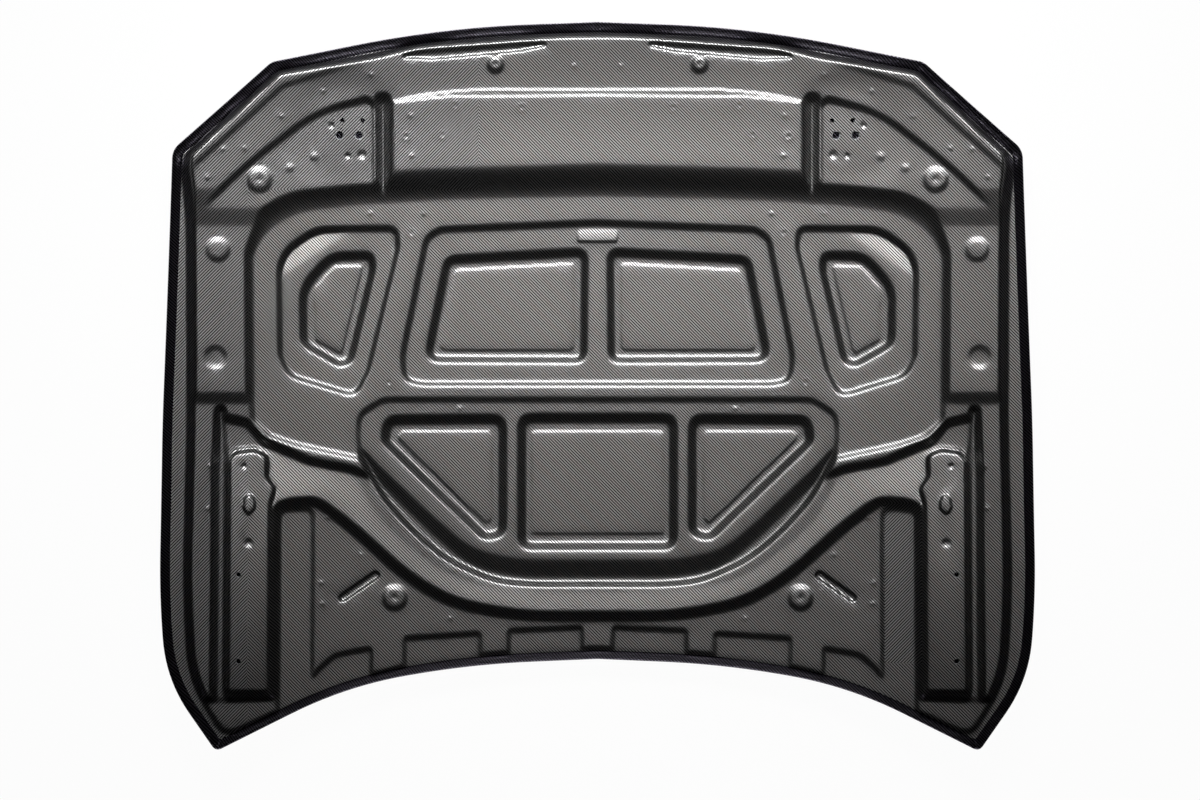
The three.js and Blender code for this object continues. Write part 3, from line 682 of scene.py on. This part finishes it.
flat_x, flat_y = points[:, 0] / mm, points[:, 1] / mm - SHIFT_Y
slopes = np.stack(
    [-sampled(fall_x, flat_x, flat_y), -sampled(fall_y, flat_x, flat_y), np.ones(len(points))], 1
)
slopes /= np.linalg.norm(slopes, axis=1, keepdims=True)
border = open_edges(triangles)
count = len(points)
backs = points - [0, 0, SHEET * mm]
start, end = border.T
walls = np.concatenate([
    np.stack([end, start, start + count], 1), np.stack([end, start + count, end + count], 1),
])
along = points[end] - points[start]
outward = np.stack([along[:, 1], -along[:, 0], np.zeros(len(along))], 1)
outward /= np.maximum(np.linalg.norm(outward, axis=1, keepdims=True), 1e-9)
faces = np.concatenate([triangles, triangles[:, ::-1] + count, walls])
corner_normals = np.concatenate([
    slopes[triangles].reshape(-1, 3),
    -slopes[triangles[:, ::-1]].reshape(-1, 3),
    np.repeat(np.concatenate([outward, outward]), 3, axis=0),
])
inner_frame = new_piece("inner_frame_sheet", np.concatenate([points, backs]), faces, corner_normals)
print("inner frame sheet:", len(faces), "triangles")

# %% [markdown]
# ## The outer skin
# The skin is one smooth shell. It is drawn as rings, from the middle of its outer face, round the
# turned-up edge and back over its inner face. A curve round the foot of the edge gives its outer side a
# soft shoulder.

# %% Build the outer skin
SKIN_STRIDE = 14  # longest side of a face along the edge
CORNER_STEPS = 12
outer_foot = moved(panel_outline, lambda corner: -corner[3] * (RIM_HEIGHT + SKIN) / RIM_HEIGHT)
lip = moved(panel_outline, lambda corner: -skin_across(corner))
panel_ring = ring(panel_outline, CORNER_STEPS)
walk = np.linalg.norm(np.roll(panel_ring, -1, axis=0) - panel_ring, axis=1)


def divided(points):
    """Adds points to a ring, as many as the panel's own outline needs there."""
    made = []
    for start, end, length in zip(points, np.roll(points, -1, axis=0), walk):
        pieces = max(1, math.ceil(length / SKIN_STRIDE))
        share = np.arange(pieces) / pieces
        made.append(start + share[:, None] * (end - start))
    return np.concatenate(made)


def at_height(points, height):
    return np.column_stack([points, np.full(len(points), float(height))])


top = at_height(divided(panel_ring), RIM_HEIGHT)
foot = at_height(divided(ring(outer_foot, CORNER_STEPS)), -SKIN)
lip_ring = at_height(divided(ring(lip, CORNER_STEPS)), RIM_HEIGHT)
inner_foot = at_height(divided(ring(rim_foot, CORNER_STEPS)), 0)
print("points round the edge:", len(top))

# %% Rings and faces of the skin
SHOULDER = 0.35  # how far the soft shoulder reaches up the rim, as a share of it
EDGE_ROUND = [0, 0, 0.2]
start, end = foot + SHOULDER * (foot - top) * [1, 1, 0], foot + SHOULDER * (top - foot)
shoulder = [(1 - t) ** 2 * start + 2 * t * (1 - t) * foot + t * t * end for t in np.linspace(0, 1, 7)]
spread = np.linspace(0.05, 1, 22)
rings = [start * [s, s, 1] for s in spread[:-1]]
rings += shoulder + [foot + s * (top - foot) for s in (0.6, 0.85, 0.97)]
rings += [top * (1 - s) + lip_ring * s + EDGE_ROUND for s in (0.3, 0.7)]
rings += [lip_ring + s * (inner_foot - lip_ring) for s in (0.04, 0.3, 0.6, 1)]
rings += [inner_foot * [s, s, 1] for s in spread[-2::-1]]
per_ring = len(top)
skin_points = np.concatenate([[[0, 0, -SKIN]], *rings, [[0, 0, 0]]])
last = len(skin_points) - 1
here = 1 + np.arange(per_ring)
after = np.roll(here, -1)
skin_faces = np.stack([np.zeros(per_ring, int), here, after], 1).tolist()
for _ in rings[1:]:
    sides = [here, here + per_ring, after + per_ring, after]
    skin_faces += np.stack(sides, 1).tolist()
    here, after = here + per_ring, after + per_ring
skin_faces += np.stack([np.full(per_ring, last), after, here], 1).tolist()
sx, sy, sz = skin_points.T
outer_skin = new_piece("outer_skin_shell", to_world(sx, sy, sz + crown(sx, sy)), skin_faces)
print("outer skin:", len(skin_faces), "faces in", len(rings), "rings of", per_ring)

# %% [markdown]
# ## Clear-coated twill
# The cloth is 2 by 2 twill: each bundle of fibres, a tow, passes over two others and under two, one step
# further on in each row, and that draws the diagonal lines. Each tow is about 1.4 mm wide here. We
# number the tows both ways; the two numbers added up, counted in fours, say which tow lies on top. Some
# pieces of cloth were laid the other way round, and there one number counts backwards.

# %% Twill weave
TOW = 1.37
# Middle and half size of the pieces of cloth that lie the other way round: the outer strip of one side,
# a patch at the nose and a strip beside a hinge pad
TURNED_PIECES = [
    ((-750, 0, 0), (150, BEYOND, BEYOND)),
    ((-402.5, 617.5, 0), (197.5, 282.5, BEYOND)),
    ((526.5, -342.5, 0), (31.5, 137.5, BEYOND)),
]


def turned_cloth(tree, place, pieces):
    """Gives 1 in the pieces of cloth that lie the other way round, and 0 elsewhere."""
    turned = None
    for middle, half in pieces:
        offset = add_node(
            tree, "ShaderNodeVectorMath", {"operation": "SUBTRACT"}, i0=place, i1=[v * mm for v in middle]
        )
        distance = add_node(tree, "ShaderNodeVectorMath", {"operation": "ABSOLUTE"}, i0=offset.outputs[0])
        over = add_node(
            tree, "ShaderNodeVectorMath", {"operation": "SUBTRACT"},
            i0=distance.outputs[0], i1=[v * mm for v in half],
        )
        sides = add_node(tree, "ShaderNodeSeparateXYZ", Vector=over.outputs[0]).outputs
        farther = add_node(
            tree, "ShaderNodeMath", {"operation": "MAXIMUM"}, i0=sides["X"], i1=sides["Y"]
        )
        inside = add_node(
            tree, "ShaderNodeMath", {"operation": "LESS_THAN"}, i0=farther.outputs[0], i1=0.0
        )
        if turned is not None:
            inside = add_node(
                tree, "ShaderNodeMath", {"operation": "ADD"}, i0=inside.outputs[0], i1=turned
            )
        turned = inside.outputs[0]
    return turned


def twill(tree, turned_pieces):
    """Gives 1 where a tow that runs across the car is on top, and the place inside the tow."""
    place = add_node(tree, "ShaderNodeTexCoord").outputs["Object"]
    tows = add_node(
        tree, "ShaderNodeVectorMath", {"operation": "SCALE"}, i0=place, Scale=1 / (TOW * mm)
    ).outputs[0]
    counted = add_node(tree, "ShaderNodeVectorMath", {"operation": "FLOOR"}, i0=tows).outputs[0]
    column, row = add_node(tree, "ShaderNodeSeparateXYZ", Vector=counted).outputs[:2]
    turned = turned_cloth(tree, place, turned_pieces)
    if turned is not None:
        direction = add_node(
            tree, "ShaderNodeMath", {"operation": "MULTIPLY_ADD"}, i0=turned, i1=-2.0, i2=1.0
        ).outputs[0]
        row = add_node(
            tree, "ShaderNodeMath", {"operation": "MULTIPLY"}, i0=row, i1=direction
        ).outputs[0]
    total = add_node(tree, "ShaderNodeMath", {"operation": "ADD"}, i0=column, i1=row).outputs[0]
    step = add_node(
        tree, "ShaderNodeMath", {"operation": "FLOORED_MODULO"}, i0=total, i1=4.0
    ).outputs[0]
    across = add_node(tree, "ShaderNodeMath", {"operation": "LESS_THAN"}, i0=step, i1=1.5).outputs[0]
    inside = add_node(tree, "ShaderNodeVectorMath", {"operation": "FRACTION"}, i0=tows).outputs[0]
    return across, inside


print("twill repeat:", round(4 * TOW, 2), "mm")

# %% [markdown]
# ## Carbon under resin
# Carbon fibres are black, but they are fine smooth cylinders that shine almost like metal: the tows that
# lie across the light look grey and the others nearly black. So the colour here is a metallic one, and
# the two directions have their own: the grey of the tows across the car is painted sheen, and each tow
# has painted shade towards its sides. The frame was cured in its mould with little resin over the cloth.
# The skin's mould was polished, and its cloth is darker. Both have a thin clear coat of epoxy, IOR 1.5.

# %% Laminates of frame and skin
# The lighter colour of each pair is painted sheen: the tows across the car shine grey, and that shine is
# set into their colour.
FRAME_TOWS_WITH_PAINTED_SHEEN = ("#181818", "#a8a8a8")  # tows along the car and across it
SKIN_TOWS_WITH_PAINTED_SHEEN = ("#141216", "#686470")
# Painted shade: the colour of each tow darkens towards its sides, where its round face turns away from the
# light.
TOW_SIDE_PAINTED_SHADE = 0.35  # how much darker a tow gets towards its sides
TOW_RELIEF = 0.12 * mm
EPOXY_IOR = 1.5


def carbon_laminate(name, tows, roughness, coat_roughness, turned_pieces=()):
    """Twill of carbon tows in epoxy, with a painted sheen on the tows across the car and painted shade at
    the sides of every tow.
    """
    material, tree, output = new_material(name)
    across, inside = twill(tree, turned_pieces)
    u, v = add_node(tree, "ShaderNodeSeparateXYZ", Vector=inside).outputs[:2]
    offset = add_node(tree, "ShaderNodeMix", {"data_type": "FLOAT"}, i0=across, i2=u, i3=v).outputs[0]
    angle = add_node(tree, "ShaderNodeMath", {"operation": "MULTIPLY"}, i0=offset, i1=math.pi)
    round_tow = add_node(tree, "ShaderNodeMath", {"operation": "SINE"}, i0=angle.outputs[0]).outputs[0]
    # The tows across the car get their painted sheen here, as a lighter colour than the black tows along
    # the car.
    colour = add_node(
        tree, "ShaderNodeMix", {"data_type": "RGBA"},
        i0=across, i6=linear(tows[0]), i7=linear(tows[1]),
    )
    # Painted shade at the sides of each tow; the same profile also gives the real bump below.
    tow_colour_with_painted_shade = add_node(
        tree, "ShaderNodeMix", {"data_type": "RGBA", "blend_type": "MULTIPLY"},
        i0=TOW_SIDE_PAINTED_SHADE, i6=colour.outputs[2], i7=round_tow,
    )
    bump = add_node(tree, "ShaderNodeBump", Strength=0.25, Distance=TOW_RELIEF, Height=round_tow)
    shader = add_node(
        tree, "ShaderNodeBsdfPrincipled",
        Base_Color=tow_colour_with_painted_shade.outputs[2], Metallic=1.0, Roughness=roughness,
        Coat_Weight=0.1, Coat_Roughness=coat_roughness, Coat_IOR=EPOXY_IOR, Normal=bump.outputs[0],
    )
    tree.links.new(shader.outputs[0], output.inputs["Surface"])
    return material


frame_laminate = carbon_laminate("clear_coated_twill_pressed", FRAME_TOWS_WITH_PAINTED_SHEEN, 0.39, 0.16, TURNED_PIECES)
skin_laminate = carbon_laminate("clear_coated_twill_skin", SKIN_TOWS_WITH_PAINTED_SHEEN, 0.36, 0.06)
inner_frame.data.materials.append(frame_laminate)
outer_skin.data.materials.append(skin_laminate)
print("laminates:", frame_laminate.name, skin_laminate.name)

# %% [markdown]
# ## Zinc-plated steel
# The plates and nuts under the pads are made of steel and plated with zinc. The plating is a fine
# crystalline coat, so the metal is bright but not mirror-like, and blotchy on a scale of a few
# millimetres.

# %% Plates and nuts
BLOOM = 4 * mm  # size of a blotch in the plating


def zinc_plated_steel():
    """Bright plated steel with a faint bloom."""
    material, tree, output = new_material("zinc_plated_steel")
    place = add_node(tree, "ShaderNodeTexCoord").outputs["Object"]
    bloom = add_node(tree, "ShaderNodeTexNoise", Vector=place, Scale=1 / BLOOM, Detail=3.0)
    ramp = add_node(tree, "ShaderNodeValToRGB", Fac=bloom.outputs["Fac"])
    ramp.color_ramp.elements[0].color = linear("#8f9498")
    ramp.color_ramp.elements[1].color = linear("#c3c7c9")
    shader = add_node(
        tree, "ShaderNodeBsdfPrincipled", Base_Color=ramp.outputs["Color"], Metallic=1.0, Roughness=0.38
    )
    tree.links.new(shader.outputs[0], output.inputs["Surface"])
    return material


steel = zinc_plated_steel()
metal_nodes = [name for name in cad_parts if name.startswith(("hinge_", "latch_"))]
for name in metal_nodes:
    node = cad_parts[name]
    node.data.materials.clear()
    node.data.materials.append(steel)
print("steel pieces:", len(metal_nodes))

# %% [markdown]
# ## Floor and light
# The floor is white, and to the camera it glows a little, so that it reads as a white page. The light is
# one large soft window, above the panel and beyond its nose, tilted back towards it. Walls that face it are
# bright and walls that face away are nearly black, which is what makes the pressed forms readable.

# %% Floor
FLOOR_SIZE = 60
FLOOR_DROP = 0.5 * mm  # keeps the floor just clear of the panel
GLOW_SHARE = 0.97


def level_square(name, size, height):
    """A flat square that lies level."""
    half = size / 2
    corners = [(-half, -half, height), (half, -half, height), (half, half, height), (-half, half, height)]
    return new_piece(name, corners, [(0, 1, 2, 3)])


floor = level_square("floor", FLOOR_SIZE, -FLOOR_DROP)
page, tree, output = new_material("white_page")
paper = add_node(tree, "ShaderNodeBsdfDiffuse", Color=linear("#f2f2f2"))
glow = add_node(tree, "ShaderNodeEmission", Color=(1, 1, 1, 1), Strength=1.0)
seen = add_node(tree, "ShaderNodeLightPath").outputs["Is Camera Ray"]
share = add_node(tree, "ShaderNodeMath", {"operation": "MULTIPLY"}, i0=seen, i1=GLOW_SHARE).outputs[0]
mixed = add_node(tree, "ShaderNodeMixShader", i0=share, i1=paper.outputs[0], i2=glow.outputs[0])
tree.links.new(mixed.outputs[0], output.inputs["Surface"])
floor.data.materials.append(page)
print("floor:", FLOOR_SIZE, "m wide")

# %% Window light
WINDOW_WIDTH, WINDOW_DEPTH = 1.6, 0.8
WINDOW_PLACE = (0, 1.3, 1.9)
WINDOW_TILT, WINDOW_SPREAD = math.radians(-24), math.radians(58)
WINDOW_POWER = 14

lamp = bpy.data.objects.new("window", bpy.data.lights.new("window", "AREA"))
lamp.data.shape = "RECTANGLE"
lamp.data.size, lamp.data.size_y = WINDOW_WIDTH, WINDOW_DEPTH
lamp.data.spread = WINDOW_SPREAD
lamp.data.energy = WINDOW_POWER
lamp.location = WINDOW_PLACE
lamp.rotation_euler = (WINDOW_TILT, 0, 0)
bpy.context.scene.collection.objects.link(lamp)
print("window:", WINDOW_POWER, "W")

# %% White surroundings
ROOM_LIGHT = 0.005  # what the dim room adds to the window, against 1 for the white that the camera sees

world = bpy.context.scene.world or bpy.data.worlds.new("world")
bpy.context.scene.world = world
world.use_nodes = True
tree = world.node_tree
tree.nodes.clear()
path = add_node(tree, "ShaderNodeLightPath")
strength = add_node(tree, "ShaderNodeMapRange", i0=path.outputs["Is Camera Ray"], i3=ROOM_LIGHT, i4=1.0)
sky = add_node(tree, "ShaderNodeBackground", Color=(1, 1, 1, 1), Strength=strength.outputs[0])
tree.links.new(sky.outputs[0], add_node(tree, "ShaderNodeOutputWorld").inputs["Surface"])
bpy.context.scene.view_settings.view_transform = "Standard"
print("world nodes:", len(tree.nodes))

# %% [markdown]
# ## Tie the pieces to the imported model
# Each new piece rides on the one rigid body and takes the place of its solid, which is hidden.

# %% Bodies and hidden solids
for piece, node, slot in (
    (outer_skin, "outer_skin", "skin_laminate"),
    (inner_frame, "inner_frame", "frame_laminate"),
):
    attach(piece, "root")
    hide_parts(node)
